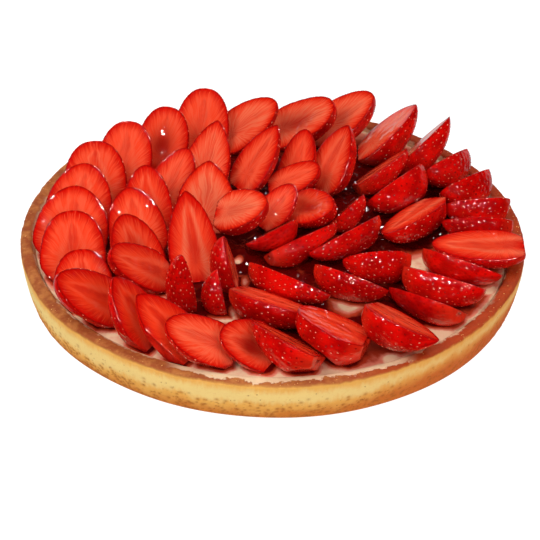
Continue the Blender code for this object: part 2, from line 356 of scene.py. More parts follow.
def nodePlanes(node):
    # The outward planes of a CAD solid, merged where they lie in one plane.
    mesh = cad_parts[node].data
    points = np.array([vert.co[:] for vert in mesh.vertices]) / mm
    planes = []
    for face in mesh.polygons:
        way = np.array(face.normal)
        reach = float(way @ points[face.vertices[0]])
        if not any(way @ other > 0.9999 and abs(reach - far) < 0.02 for other, far in planes):
            planes.append((way, reach))
    return points, planes


def keepInside(points, middle, planes):
    # Draws points in towards one inside point until they are behind every plane.
    rays = points - middle
    share = np.ones(len(points))
    for way, reach in planes:
        ahead = rays @ way
        room = reach - float(way @ middle)
        limit = np.where(ahead > 1e-6, room / np.maximum(ahead, 1e-6), 1.0)
        share = np.minimum(share, np.where(ahead > room, limit, 1.0))
    return middle + rays * share[:, None]


def buildBerry(name, row, index, skin, flesh):
    length, width, depth, tip = row[5:9]
    along, across, out = berryWays(*row[2:5])
    middle = berryMiddle(row)
    shape = berryShape
    stations = 1 - np.cos(np.linspace(0, 1, shape["stations"]) * math.pi / 2)
    stations = 1 - stations[::-1]  # closer together towards the tip
    stations = 0.5 * stations + 0.5 * np.linspace(0, 1, shape["stations"])
    rings = [(0.0, share) for share in shape["stemRings"]] + [(station, 1.0) for station in stations[:-1]]
    skinCount, faceCount = shape["skinSteps"], shape["faceSteps"]
    angles = np.linspace(0, math.pi, skinCount + 1)
    spots = []
    maps = []
    for station, shrink in rings:
        share = halfWidth(station, tip) * shrink
        if station == 0.0 and shrink == 1.0:
            share *= 0.97
        along0 = (station - 0.5) * length
        half = share * (1 + np.array([bulge(station, angle, index) for angle in angles]))
        sides = -0.5 * width * half * np.cos(angles)
        deep = -depth * half * np.sin(angles)
        rim = min(shape["edgeRounding"], 0.2 * share * width)
        deep[0] -= rim
        deep[-1] -= rim
        for k in range(skinCount + 1):
            spots.append((along0, sides[k], deep[k]))
            maps.append((station * length, angles[k] * 0.25 * (width + 2 * depth)))
        for k in range(1, faceCount):
            # from the far side back to the near side, closer together at the rim
            way = math.cos(math.pi * k / faceCount)
            way = 0.35 * way + 0.65 * (1 - 2 * k / faceCount)
            side = 0.5 * (sides[-1] - sides[0]) * way + 0.5 * (sides[-1] + sides[0])
            spots.append((along0, side * (1 - 0.35 * rim / max(width * share, 1e-3)), 0.0))
            maps.append((2 * (station - 0.5), 2 * side / width))
    ringSize = skinCount + faceCount
    spots.append((-0.5 * length, 0.0, -0.4 * depth * 0.58))
    maps.append((0.0, 0.0))
    spots.append((0.5 * length, 0.0, 0.0))
    maps.append((1.0, 0.0))
    spots, maps = np.array(spots), np.array(maps)
    count = len(rings)
    isFace = np.zeros(len(spots), dtype=bool)
    for number in range(count):
        isFace[number * ringSize + skinCount + 1:(number + 1) * ringSize] = True
    # distance of every face point from the face's outline
    outline = np.concatenate([spots[n * ringSize][None, :2] for n in range(count)]
                             + [spots[-1][None, :2]]
                             + [spots[n * ringSize + skinCount][None, :2] for n in range(count - 1, -1, -1)])
    far = np.sqrt(((spots[:, None, :2] - outline[None]) ** 2).sum(-1)).min(1)
    far[~isFace] = 0.0
    # dimples round the seeds, and a hollow and faint ridges in the cut face
    bands, pale, hollow = faceLooks.get(name.replace("strawberry_", ""), plainLook)
    spotList = seedPlaces(row, index)
    seedSpots = np.array([place for place, _ in spotList])
    gap = np.sqrt(((spots[:, None, :] - seedSpots[None]) ** 2).sum(-1)).min(1)
    dimple = np.exp(-(gap / shape["dimpleReach"]) ** 2)
    radial = spots * (0.0, 1.0, 1.0)
    reach = np.maximum(np.linalg.norm(radial, axis=1), 1e-3)
    push = np.where(~isFace & (reach > 2.0), shape["dimpleDepth"] * dimple * np.minimum(1, reach / 6), 0.0)
    spots = spots - radial / reach[:, None] * push[:, None]
    alongShare, acrossShare = spots[:, 0] / (0.5 * length), spots[:, 1] / (0.5 * width)
    bowl = np.exp(-((alongShare + 0.15) / 0.45) ** 2 - (acrossShare / 0.42) ** 2)
    ridges = shape["ridgeDepth"] * np.exp(-far / shape["ridgeReach"])
    spots[:, 2] -= np.where(isFace, hollow * bowl * np.minimum(1, far / 2.5) + ridges, 0.0)
    # the flats where this berry meets its neighbours, the rim and the cream
    node, planes = nodePlanes(name)
    coarse = coarseBerry(row, middle)
    cuts = [(way, limit) for way, limit in planes if (coarse @ way).max() > limit + shape["cutMargin"]]
    # a neighbour that lies flat against the cut face only sets that face deeper
    flush = [(way, limit) for way, limit in cuts if float(way @ out) > shape["sameWay"]]
    setBack = min([0.0] + [limit - float(way @ middle) for way, limit in flush])
    spots[:, 2] = setBack + spots[:, 2] * (depth + setBack) / depth
    cuts = [(way, limit) for way, limit in cuts if float(way @ out) <= shape["sameWay"]]
    world = middle + spots[:, :1] * along + spots[:, 1:2] * across + spots[:, 2:] * out
    facePoints = node[(node - middle) @ out > setBack - 0.3]
    core = facePoints.mean(0) - 0.3 * out
    world = keepInside(world, core, [(way, limit + 0.02) for way, limit in cuts])
    faces = ringFaces(count, ringSize)
    slots = [0 if k < skinCount else 1 for k in range(ringSize)] * (count - 1)
    stemPoint, tipPoint = len(spots) - 2, len(spots) - 1
    for k in range(ringSize):
        after = (k + 1) % ringSize
        faces.append((stemPoint, after, k))
        slots.append(0)
        faces.append((tipPoint, (count - 1) * ringSize + k, (count - 1) * ringSize + after))
        slots.append(0 if k < skinCount else 1)
    berry = meshObject(name + "_fruit", world * mm, faces, [skin, flesh])
    mesh = berry.data
    mesh.polygons.foreach_set("material_index", np.array(slots, dtype=np.int32))
    # one map holds the seed rows on the skin and the plan of the cut face
    layer = mesh.uv_layers.new(name="berryMap")
    corner = np.zeros(len(mesh.loops), dtype=np.int32)
    mesh.loops.foreach_get("vertex_index", corner)
    perCorner = maps[corner].copy()
    slotOfCorner = np.repeat(np.array(slots), [len(face) for face in faces])
    plan = np.stack([2 * (spots[:, 0] / length), 2 * spots[:, 1] / width], 1)
    perCorner[slotOfCorner == 1] = plan[corner[slotOfCorner == 1]]
    layer.data.foreach_set("uv", perCorner.astype(np.float32).ravel())
    addAttribute(mesh, "rimDistance", far)
    addAttribute(mesh, "dimple", dimple)
    addAttribute(mesh, "bandStrength", np.full(len(spots), bands))
    addAttribute(mesh, "paleness", np.full(len(spots), pale))
    # how much painted shade lies in the hollow of the cut face
    addAttribute(mesh, "hollowShade", np.where(isFace, bowl * min(1.0, hollow / 2.0), 0.0))
    addAttribute(mesh, "stemward", np.clip(1 - (spots[:, 0] / length + 0.5) / 0.22, 0, 1))
    addAttribute(mesh, "berryNumber", np.full(len(spots), index * 1.37))
    if bmeshVolume(mesh) < 0:
        mesh.flip_normals()
    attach(berry, "root")
    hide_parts(name)
    seeds = []
    for place, normal in spotList:
        point = middle + place[0] * along + place[1] * across + place[2] * out
        if all(way @ point < limit - shape["seedMargin"] for way, limit in cuts + flush):
            seeds.append((point, normal[0] * along + normal[1] * across + normal[2] * out, along))
    return seeds


def bmeshVolume(mesh):
    shape = bmesh.new()
    shape.from_mesh(mesh)
    volume = shape.calc_volume(signed=True)
    shape.free()
    return volume


def seedPlaces(row, index):
    # One berry's seeds in its own lengths: place and outward way.
    length, width, depth, tip = row[5:9]
    shape = berryShape
    draw = np.random.default_rng(100 + index)
    found = []
    for n in range(1, int(length / shape["seedRow"]) + 1):
        rowShare = halfWidth(min(0.98, n * shape["seedRow"] / length), tip)
        every = 1 if rowShare > 0.45 else 2
        for k in range(0, shape["seedsAround"] + 1, every):
            shift = draw.uniform(-1, 1, 2) * shape["seedJitter"]
            station = (n + shift[0]) * shape["seedRow"] / length
            turn = k + 0.5 * (n % 2) + shift[1] * (0 < k < shape["seedsAround"])
            angle = turn / shape["seedsAround"] * math.pi
            share = halfWidth(min(station, 0.99), tip)
            if angle > math.pi or station > 0.975 or share * width < 3.0:
                continue
            half = share * (1 + bulge(station, angle, index))
            side, deep = -0.5 * width * half * math.cos(angle), -depth * half * math.sin(angle)
            away = max(math.hypot(side, deep), 0.1)
            sunk = 1 - 0.7 * shape["dimpleDepth"] * min(1, away / 6) / away
            if angle < 0.05 or angle > math.pi - 0.05:
                deep -= 0.5
            before, after = (halfWidth(min(station + step, 1.0), tip) for step in (-0.02, 0.02))
            slope = 0.5 * width * (after - before) / (0.04 * length)
            normal = np.array((0.0, -math.cos(angle) / (0.5 * width), -math.sin(angle) / depth))
            normal = normal / np.linalg.norm(normal) - (slope, 0.0, 0.0)
            place = np.array(((station - 0.5) * length, side * sunk, deep * sunk))
            found.append((place, normal / np.linalg.norm(normal)))
    return found


# Finishes of the fruit
fleshColours = {
    "orange": (0.94, 0.036, 0.006),
    "red": (0.66, 0.005, 0.002),
    "pale": (0.92, 0.21, 0.10),
    "rim": (0.32, 0.002, 0.0015),
    # the hollow colour is painted shade in the face's hollow
    "hollow": (0.34, 0.003, 0.002),
}
skinColours = {
    "deep": (0.42, 0.0012, 0.0010),
    "bright": (0.74, 0.0035, 0.0018),
    "stem": (0.85, 0.05, 0.015),
    # the dimple colour is painted shade in the dimples round the seeds
    "dimple": (0.24, 0.0008, 0.0008),
}
glazeFinish = {"coat": 1.0, "coatRoughness": 0.04, "coatIor": 1.5, "waviness": 0.75, "waves": 210.0}


def glazed(s, height, wave):
    # A wet film over the fruit, with slow waves of its own.
    ripple = s.noise(s.place(), glazeFinish["waves"], 0.6, 0.4, 0.5)
    coat = s.bump(s.add(s.times(ripple, wave), height), 1.0, 0.0008)
    s.set(Coat_Weight=glazeFinish["coat"], Coat_Roughness=glazeFinish["coatRoughness"])
    s.set(Coat_IOR=glazeFinish["coatIor"], Coat_Normal=coat)


def fleshMaterial():
    s = Shader("strawberryFlesh")
    x, y, _ = s.split(s.uv("berryMap"))
    number = s.attribute("berryNumber")
    paleness = s.attribute("paleness")
    wander = s.waver(s.join(x, y, number), 2.2, 2.0, 0.5)
    wanderOn = s.waver(s.join(y, x, s.add(number, 4.0)), 2.0, 2.0, 0.5)
    x = s.add(x, s.times(wanderOn, 0.16))
    ay = s.math("ABSOLUTE", s.add(y, s.times(wander, 0.22)))
    rim = s.attribute("rimDistance")
    # fibres that run from the core out to the seeds, leaning to the tip
    angle = s.math("ARCTAN2", ay, s.add(x, 0.55))
    half = s.add(number, s.math("SIGN", y))
    streak = s.noise(s.join(s.times(angle, 9.0), s.times(ay, 0.8), half), 1.6, 3.0, 0.6)
    fine = s.noise(s.join(s.times(angle, 24.0), s.times(ay, 1.2), number), 1.6, 2.0, 0.6)
    # red at the rim to orange in the middle, with the fibres running across
    inward = s.add(rim, s.times(s.minus(streak, 0.5), 6.5))
    inward = s.add(inward, s.times(s.minus(fine, 0.5), 3.5))
    inward = s.add(inward, s.times(paleness, 2.5))
    colour = s.mix(s.step(inward, 1.2, 7.0), fleshColours["red"], fleshColours["orange"])
    # the pale bands on both sides of the core
    fromTip = s.math("MAXIMUM", s.math("DIVIDE", s.minus(0.80, x), 1.35), 0.0)
    bandPlace = s.times(s.math("POWER", fromTip, 0.6), 0.40)
    bandWidth = s.step(x, 0.7, -0.8, 0.08, 0.20)
    gap = s.math("DIVIDE", s.minus(ay, bandPlace), bandWidth)
    band = s.math("EXPONENT", s.times(s.times(gap, gap), -1.0))
    band = s.times(band, s.step(x, 0.86, 0.55))
    core = s.times(s.step(gap, -0.2, -1.3), s.step(wander, -0.15, 0.2, 0.15, 0.75))
    colour = s.mix(core, colour, fleshColours["red"])
    paleShare = s.times(s.times(band, s.attribute("bandStrength")), s.step(fine, 0.25, 0.7, 0.30, 0.85))
    fibres = s.times(s.step(fine, 0.50, 0.70), s.times(s.step(rim, 1.0, 2.2), s.step(rim, 7.0, 3.0)))
    paleShare = s.math("MAXIMUM", paleShare, s.times(fibres, s.add(s.times(paleness, 0.5), 0.10)))
    wide = s.times(s.times(paleness, s.step(rim, 1.2, 6.0)), s.step(streak, 0.35, 0.65, 0.25, 0.95))
    paleShare = s.math("MAXIMUM", paleShare, wide)
    colour = s.mix(paleShare, colour, fleshColours["pale"])
    # painted shade: darker red laid into the hollow of the cut face, deeper where the hollow is deeper
    colour = s.mix(s.times(s.attribute("hollowShade"), 0.85), colour, fleshColours["hollow"])
    toothed = s.add(rim, s.times(s.minus(streak, 0.5), 1.6))
    colour = s.mix(s.step(toothed, 1.3, 0.15, 0.0, 0.9), colour, fleshColours["rim"])
    s.set(Base_Color=colour, Roughness=0.5, Specular_IOR_Level=0.0)
    s.set(Normal=s.bump(s.times(fine, 0.35), 0.6, 0.0004))
    glazed(s, 0.0, glazeFinish["waviness"])
    return s.material


def skinMaterial():
    s = Shader("strawberrySkin")
    along, around, _ = s.split(s.uv("berryMap"))
    number = s.attribute("berryNumber")
    dimple = s.attribute("dimple")
    blotch = s.noise(s.join(along, around, number), 0.11, 3.0, 0.55)
    patch = s.noise(s.place(), 60.0, 2.0, 0.5)
    colour = s.mix(s.step(blotch, 0.35, 0.68), skinColours["deep"], skinColours["bright"])
    colour = s.mix(s.step(patch, 0.5, 0.8, 0.0, 0.5), colour, skinColours["bright"])
    colour = s.mix(s.times(s.attribute("stemward"), 0.35), colour, skinColours["stem"])
    # painted shade: the skin darkened in the dimples round the seeds
    colour = s.mix(s.step(dimple, 0.3, 1.0, 0.0, 0.65), colour, skinColours["dimple"])
    s.set(Base_Color=colour, Roughness=0.5, Specular_IOR_Level=0.0)
    glazed(s, s.times(dimple, -0.15), 0.8 * glazeFinish["waviness"])
    return s.material


def seedMaterial():
    s = Shader("strawberrySeed")
    tone = s.attribute("seedTone")
    colour = s.mix(s.step(tone, 0.15, 0.30), seedColours["dark"], seedColours["red"])
    colour = s.mix(s.step(tone, 0.50, 1.0), colour, seedColours["pale"])
    s.set(Base_Color=colour, Roughness=0.5, Specular_IOR_Level=0.0, Coat_Weight=0.6, Coat_Roughness=0.08)
    return s.material


# Seeds, one small flattened grain on every spot
seedShape = {"radius": 0.54, "slim": 0.62, "flat": 0.5, "seed": 4}
seedColours = {"dark": (0.28, 0.003, 0.002), "red": (0.72, 0.030, 0.012), "pale": (0.90, 0.24, 0.15)}


def geometryTree(name, sockets):
    tree = bpy.data.node_groups.new(name, "GeometryNodeTree")
    tree.interface.new_socket("Geometry", in_out="INPUT", socket_type="NodeSocketGeometry")
    tree.interface.new_socket("Geometry", in_out="OUTPUT", socket_type="NodeSocketGeometry")
    known = {}
    for title, kind, value in sockets:
        socket = tree.interface.new_socket(title, in_out="INPUT", socket_type=kind)
        socket.default_value = value
        known[title] = socket.identifier
    return tree, known, tree.nodes.new("NodeGroupInput").outputs


def finishTree(tree, geometry, material, smooth):
    # The instances made real, shaded and given their material.
    geometry = addNode(tree, "GeometryNodeRealizeInstances", {0: geometry}).outputs[0]
    if smooth:
        geometry = addNode(tree, "GeometryNodeSetShadeSmooth", {0: geometry}).outputs[0]
    dressed = addNode(tree, "GeometryNodeSetMaterial", {"Geometry": geometry, "Material": material})
    addNode(tree, "NodeGroupOutput", {0: dressed.outputs[0]})


def runTree(thing, tree, values, name):
    # Evaluates a tree on an object and keeps the result as a plain mesh.
    modifier = thing.modifiers.new("maker", "NODES")
    modifier.node_group = tree
    for identifier, value in values.items():
        modifier[identifier] = value
    seen = thing.evaluated_get(bpy.context.evaluated_depsgraph_get())
    mesh = bpy.data.meshes.new_from_object(seen)
    mesh.name = name
    made = addObject(name, mesh)
    bpy.data.objects.remove(thing, do_unlink=True)
    return made


def seedTree(material):
    tree, known, ask = geometryTree("seedMaker", (
        ("Seed Radius", "NodeSocketFloat", 0.0006),
        ("Slimness", "NodeSocketFloat", 0.6),
        ("Flatness", "NodeSocketFloat", 0.5),
        ("Random Seed", "NodeSocketInt", 4),
    ))
    ball = addNode(tree, "GeometryNodeMeshIcoSphere", {"Radius": ask["Seed Radius"], "Subdivisions": 1})
    sizes = addNode(tree, "ShaderNodeCombineXYZ", {0: 1.0, 1: ask["Slimness"], 2: ask["Flatness"]})
    grain = addNode(tree, "GeometryNodeTransform", {"Geometry": ball.outputs[0], "Scale": sizes.outputs[0]})
    normal = addNode(tree, "GeometryNodeInputNamedAttribute", {"Name": "aim"}, data_type="FLOAT_VECTOR")
    along = addNode(tree, "GeometryNodeInputNamedAttribute", {"Name": "along"}, data_type="FLOAT_VECTOR")
    upright = addNode(tree, "FunctionNodeAlignRotationToVector", {"Vector": normal.outputs[0]}, axis="Z")
    turned = addNode(tree, "FunctionNodeAlignRotationToVector", {
        "Rotation": upright.outputs[0], "Vector": along.outputs[0]}, axis="X", pivot_axis="Z")
    sizeSpread = addNode(tree, "FunctionNodeRandomValue", {
        "Seed": ask["Random Seed"], 2: 0.8, 3: 1.15}, data_type="FLOAT")
    placed = addNode(tree, "GeometryNodeInstanceOnPoints", {
        "Points": ask["Geometry"], "Instance": grain.outputs[0],
        "Rotation": turned.outputs[0], "Scale": sizeSpread.outputs[1]})
    finishTree(tree, placed.outputs[0], material, True)
    return tree, known


def vectorAttribute(mesh, name, values):
    layer = mesh.attributes.new(name, "FLOAT_VECTOR", "POINT")
    layer.data.foreach_set("vector", np.asarray(values, dtype=np.float32).ravel())


def makeSeeds(name, spots, material):
    tree, known = seedTree(material)
    mesh = bpy.data.meshes.new(name + "Spots")
    mesh.from_pydata([(point * mm).tolist() for point, _, _ in spots], [], [])
    vectorAttribute(mesh, "aim", [normal for _, normal, _ in spots])
    vectorAttribute(mesh, "along", [along for _, _, along in spots])
    draw = np.random.default_rng(seedShape["seed"])
    addAttribute(mesh, "seedTone", draw.random(len(spots)))
    host = addObject(name + "Spots", mesh)
    made = runTree(host, tree, {
        known["Seed Radius"]: seedShape["radius"] * mm,
        known["Slimness"]: seedShape["slim"],
        known["Flatness"]: seedShape["flat"],
        known["Random Seed"]: seedShape["seed"],
    }, name)
    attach(made, "root")


def makeStrawberries():
    skin, flesh, seed = skinMaterial(), fleshMaterial(), seedMaterial()
    index = 0
    for ring, rows in berryRows.items():
        spots = []
        for number, row in enumerate(rows, 1):
            index += 1
            spots.extend(buildBerry(f"strawberry_{ring}_{number:02d}", row, index, skin, flesh))
        makeSeeds(ring + "Seeds", spots, seed)
        print(f"{ring} ring: {len(rows)} strawberries, {len(spots)} seeds")


# The crust
crustShape = {
    "rimRadius": 120.0,
    "footRadius": 116.8,
    "height": 21.5,
    "rimWidth": 6.5,
    "floor": 5.0,
    "floorRadius": 108.0,
    "turns": 1150,
    "sideRings": 40,
    "planWaves": ((3, 0.45, 0.6), (5, 0.30, 2.1), (11, 0.18, 4.0)),
    "rimWaves": ((1, 0.60, 0.2), (2, 0.20, 1.0), (7, 0.22, 3.3), (13, 0.12, 0.4)),
    "roughness": 0.17,
    "pits": 2600,
    "pitSize": (0.55, 1.05),
    "pitDepth": 0.32,
    "pitSeed": 12,
}
crustColours = {
    "pale": (0.95, 0.66, 0.23),
    "golden": (0.90, 0.44, 0.085),
    "baked": (0.68, 0.20, 0.024),
    # the brown is painted shade for the right side of the crust
    "brown": (0.66, 0.12, 0.014),
    "rim": (0.36, 0.078, 0.018),
    "rimPale": (0.55, 0.19, 0.045),
    "rimSoaked": (0.44, 0.038, 0.003),
    "pit": (0.42, 0.11, 0.012),
    "smear": (0.86, 0.60, 0.36),
}


def waves(angle, terms):
    return sum(size * np.sin(count * angle + phase) for count, size, phase in terms)


def crustProfile():
    # Radius, height, share of the plan waves, share of the rim waves.
    shape = crustShape
    rim, foot, height = shape["rimRadius"], shape["footRadius"], shape["height"]
    inside = rim - shape["rimWidth"]
    flare = rim - foot
    knots = [(0.5, 0.0, 0.0, 0.0), (60.0, 0.0, 0.2, 0.0), (foot - 4, 0.0, 0.6, 0.0)]
    knots += [(foot - 1.4, 0.0, 0.6, 0.0), (foot - 0.5, 0.25, 0.6, 0.0), (foot, 1.0, 0.7, 0.0)]
    for share in np.linspace(0.03, 0.95, shape["sideRings"]):
        reach = foot + flare * (1 - (1 - share) ** 1.7)
        knots.append((reach, 1.0 + share * (height - 2.3), 0.7 + 0.3 * share, 0.6 * share ** 3))
    knots += [(rim - 0.1, height - 1.1, 1.0, 0.7), (rim - 0.7, height - 0.4, 1.0, 1.0)]
    knots.append((rim - 1.4, height - 0.08, 1.0, 1.0))
    for share in np.linspace(0.1, 0.9, 9):
        knots.append((rim - 1.4 - share * (shape["rimWidth"] - 3.0), height, 1.0 - share, 1.0))
    knots += [(inside + 1.2, height - 0.1, 0.0, 1.0), (inside + 0.5, height - 0.4, 0.0, 0.8)]
    knots.append((inside + 0.1, height - 0.9, 0.0, 0.5))
    lip = height - 1.0
    for share in np.linspace(0.1, 1.0, 8):
        reach = inside - share * (inside - shape["floorRadius"])
        knots.append((reach, lip - share * (lip - shape["floor"]), 0.0, 0.0))
    knots += [(60.0, shape["floor"], 0.0, 0.0), (0.5, shape["floor"], 0.0, 0.0)]
    return np.array(knots)


def crustMaterial():
    s = Shader("bakedCrust")
    x, y, _ = s.split(s.place())
    around, up, _ = s.split(s.uv("crustMap"))
    radius = s.times(s.math("SQRT", s.add(s.times(x, x), s.times(y, y))), 1000.0)
    pit = s.attribute("pitting")
    lumps = s.waver(s.place(), 45.0, 3.0, 0.6)
    blotch = s.waver(s.place(), 170.0, 3.0, 0.6)
    grainy = s.noise(s.place(), 900.0, 4.0, 0.65)
    runs = s.waver(s.join(s.times(around, 0.5), s.times(up, 0.09), 0.0), 1.0, 3.0, 0.6)
    # masks for painted shade on the right side and painted light on the left
    shadedRight = s.step(x, 0.0, 0.105)
    litLeft = s.step(x, -0.02, -0.09)
    # baked brown at the foot, pale above, golden again under the rim; the level is pushed down on the right
    # as painted shade and up on the left as painted light
    level = s.add(up, s.add(s.times(lumps, 9.0), s.times(blotch, 5.0)))
    level = s.minus(level, s.times(shadedRight, 5.0))
    level = s.add(level, s.times(litLeft, 2.0))
    colour = s.mix(s.step(level, 1.5, 8.0), crustColours["baked"], crustColours["golden"])
    colour = s.mix(s.step(s.add(level, s.times(runs, 6.0)), 7.0, 12.5), colour, crustColours["pale"])
    under = s.add(s.add(up, s.times(blotch, 3.0)), s.times(runs, 5.0))
    colour = s.mix(s.step(under, 14.8, 19.2, 0.0, 0.95), colour, crustColours["golden"])
    # painted shade: brown laid over the right side, where less light falls
    colour = s.mix(s.times(shadedRight, s.step(level, 12.0, 2.0, 0.25, 0.95)), colour, crustColours["brown"])
    colour = s.mix(s.step(grainy, 0.55, 0.75, 0.0, 0.25), colour, crustColours["baked"])
    colour = s.mix(s.times(pit, s.step(up, 16.0, 6.0, 0.35, 0.8)), colour, crustColours["pit"])
    specks = s.cells(s.join(s.times(around, 0.50), s.times(up, 0.36), 0.0), 1.0, 0.9)
    speck = s.times(s.step(specks, 0.17, 0.08), s.step(up, 17.5, 15.0))
    colour = s.mix(s.times(speck, 0.65), colour, crustColours["pit"])
    # the rim: browned, soaked red on the right, with cream drawn over its inner edge in front
    rimTone = s.mix(s.step(blotch, -0.10, 0.20), crustColours["rim"], crustColours["rimPale"])
    rimTone = s.mix(s.step(x, 0.015, 0.07, 0.0, 0.92), rimTone, crustColours["rimSoaked"])
    rimTone = s.mix(s.step(grainy, 0.52, 0.72, 0.0, 0.5), rimTone, crustColours["rim"])
    top = s.step(s.add(up, s.times(blotch, 2.2)), 18.9, 20.5)
    colour = s.mix(top, colour, rimTone)
    ragged = s.add(radius, s.add(s.times(blotch, 9.0), s.times(lumps, 5.0)))
    inFront = s.times(s.step(y, -0.085, -0.105), s.step(s.math("ABSOLUTE", s.minus(x, 0.010)), 0.056, 0.046))
    smear = s.times(s.step(ragged, 117.8, 117.0), s.times(inFront, s.step(up, 18.0, 20.0)))
    inside = s.times(s.step(ragged, 115.0, 113.8), s.times(s.step(up, 21.6, 20.6), s.step(up, 3.0, 5.0)))
    colour = s.mix(s.math("MAXIMUM", smear, s.times(inside, 0.8)), colour, crustColours["smear"])
    s.set(Base_Color=colour, Roughness=0.75, Specular_IOR_Level=0.15)
    height = s.add(s.times(grainy, 0.6), blotch)
    s.set(Normal=s.bump(s.minus(height, s.times(speck, 0.8)), 0.8, 0.0006))
    return s.material


def pitting(around, up):
    # How deep each point of the side lies in one of the small baked pits.
    shape = crustShape
    draw = np.random.default_rng(shape["pitSeed"])
    whole = 2 * math.pi * shape["rimRadius"]
    places = draw.uniform(0, whole, shape["pits"])
    heights = 0.4 + 13.0 * draw.beta(1.0, 2.2, shape["pits"])
    sizes = draw.uniform(*shape["pitSize"], shape["pits"])
    fewer = 0.5 + 0.5 * np.sin(places / shape["rimRadius"] + 0.9)  # the left has the fewest
    sizes *= np.where(draw.random(shape["pits"]) < 0.35 + 0.65 * fewer, 1.0, 0.4)
    depth = np.zeros(len(around))
    order = np.argsort(around)
    sortedAround = around[order]
    for place, height, size in zip(places, heights, sizes):
        low, high = np.searchsorted(sortedAround, (place - 2.2 * size, place + 2.2 * size))
        near = order[low:high]
        away = np.hypot(around[near] - place, (up[near] - height) * 1.15) / size
        depth[near] = np.maximum(depth[near], np.exp(-away ** 2 * 1.2))
    return depth


crumbShape = {"density": 60000.0, "size": 0.34, "seed": 7, "edge": 117.2, "level": 20.2, "drawnIn": 0.9977}
crumbColour = (0.93, 0.50, 0.13)


def crumbTree(material):
    tree, known, ask = geometryTree("crumbScatter", (
        ("Crumb Density", "NodeSocketFloat", 60000.0),
        ("Crumb Size", "NodeSocketFloat", 0.0003),
        ("Random Seed", "NodeSocketInt", 7),
    ))
    spots = addNode(tree, "GeometryNodeDistributePointsOnFaces", {
        "Mesh": ask["Geometry"], "Density": ask["Crumb Density"], "Seed": ask["Random Seed"]})
    grain = addNode(tree, "GeometryNodeMeshIcoSphere", {"Radius": ask["Crumb Size"], "Subdivisions": 1})
    turn = addNode(tree, "FunctionNodeRandomValue", {
        "Seed": ask["Random Seed"], 0: (0, 0, 0), 1: (6.28, 6.28, 6.28)}, data_type="FLOAT_VECTOR")
    stretch = addNode(tree, "FunctionNodeRandomValue", {
        "Seed": ask["Random Seed"], 0: (0.4, 0.4, 0.4), 1: (1.3, 1.0, 0.8)}, data_type="FLOAT_VECTOR")
    placed = addNode(tree, "GeometryNodeInstanceOnPoints", {
        "Points": spots.outputs[0], "Instance": grain.outputs[0],
        "Rotation": turn.outputs[0], "Scale": stretch.outputs[0]})
    finishTree(tree, placed.outputs[0], material, False)
    return tree, known


def makeCrumbs(crust):
    # Golden crumbs scattered on the outer edge of the rim.
    s = Shader("goldenCrumb")
    s.set(Base_Color=(*crumbColour, 1.0), Roughness=0.5, Coat_Weight=0.5, Coat_Roughness=0.1)
    shape = bmesh.new()
    shape.from_mesh(crust.data)
    rest = []
    for face in shape.faces:
        middle = face.calc_center_median()
        if math.hypot(middle.x, middle.y) < crumbShape["edge"] * mm or middle.z < crumbShape["level"] * mm:
            rest.append(face)
    bmesh.ops.delete(shape, geom=rest, context="FACES")
    mesh = bpy.data.meshes.new("rimEdge")
    shape.to_mesh(mesh)
    shape.free()
    host = addObject("rimEdge", mesh)
    tree, known = crumbTree(s.material)
    crumbs = runTree(host, tree, {
        known["Crumb Density"]: crumbShape["density"],
        known["Crumb Size"]: crumbShape["size"] * mm,
        known["Random Seed"]: crumbShape["seed"],
    }, "rimCrumbs")
    # drawn in a little, so that none reaches past the solid's box
    for vert in crumbs.data.vertices:
        vert.co.x *= crumbShape["drawnIn"]
        vert.co.y *= crumbShape["drawnIn"]
    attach(crumbs, "root")
    print("crumbs:", len(crumbs.data.polygons), "faces")


def makeCrust():
    shape = crustShape
    profile = crustProfile()
    turns = shape["turns"]
    angles = np.linspace(0, 2 * math.pi, turns, endpoint=False)
    points = []
    for radius, height, plan, rim in profile:
        reach = radius + plan * waves(angles, shape["planWaves"])
        level = height + rim * waves(angles, shape["rimWaves"])
        points.append(np.stack([reach * np.cos(angles), reach * np.sin(angles), level], 1))
    points = np.concatenate(points)
    radius = np.hypot(points[:, 0], points[:, 1])
    turn = np.arctan2(points[:, 1], points[:, 0])
    around = ((turn - math.pi / 2) % (2 * math.pi)) * shape["rimRadius"]  # the map's seam lies at the back
    crustMap = np.stack([around, points[:, 2]], 1)
    outer = (radius > 111.0) & (points[:, 2] > 0.6)
    pits = np.where((radius > 115.5) & (points[:, 2] < 18.5), pitting(around, points[:, 2]), 0.0)
    rough = np.zeros(len(points))
    rough[outer] = fineNoise(points[outer], 5.0, 3.0) + 0.6 * fineNoise(points[outer], 1.8, 9.0)
    shift = shape["roughness"] * rough - shape["pitDepth"] * pits * outer
    points[:, :2] *= (1 + shift / np.maximum(radius, 1))[:, None]
    topside = outer & (points[:, 2] > 19.5)
    points[:, 2] += np.where(topside, 1.6 * shape["roughness"] * rough, 0.0)
    low, high = np.array(cadBox[0]) / mm, np.array(cadBox[1]) / mm
    points[:, :2] = np.clip(points[:, :2], low[:2], high[:2])
    faces = ringFaces(len(profile), turns)
    faces.append(tuple(range(turns))[::-1])
    faces.append(tuple(range((len(profile) - 1) * turns, len(profile) * turns)))
    crust = meshObject("crustShell", points * mm, faces, [crustMaterial()])
    if bmeshVolume(crust.data) < 0:
        crust.data.flip_normals()
    vertexUv(crust.data, "crustMap", crustMap)
    addAttribute(crust.data, "pitting", pits)
    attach(crust, "root")
    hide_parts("crust")
    print("crust:", len(crust.data.polygons), "faces")
    return crust


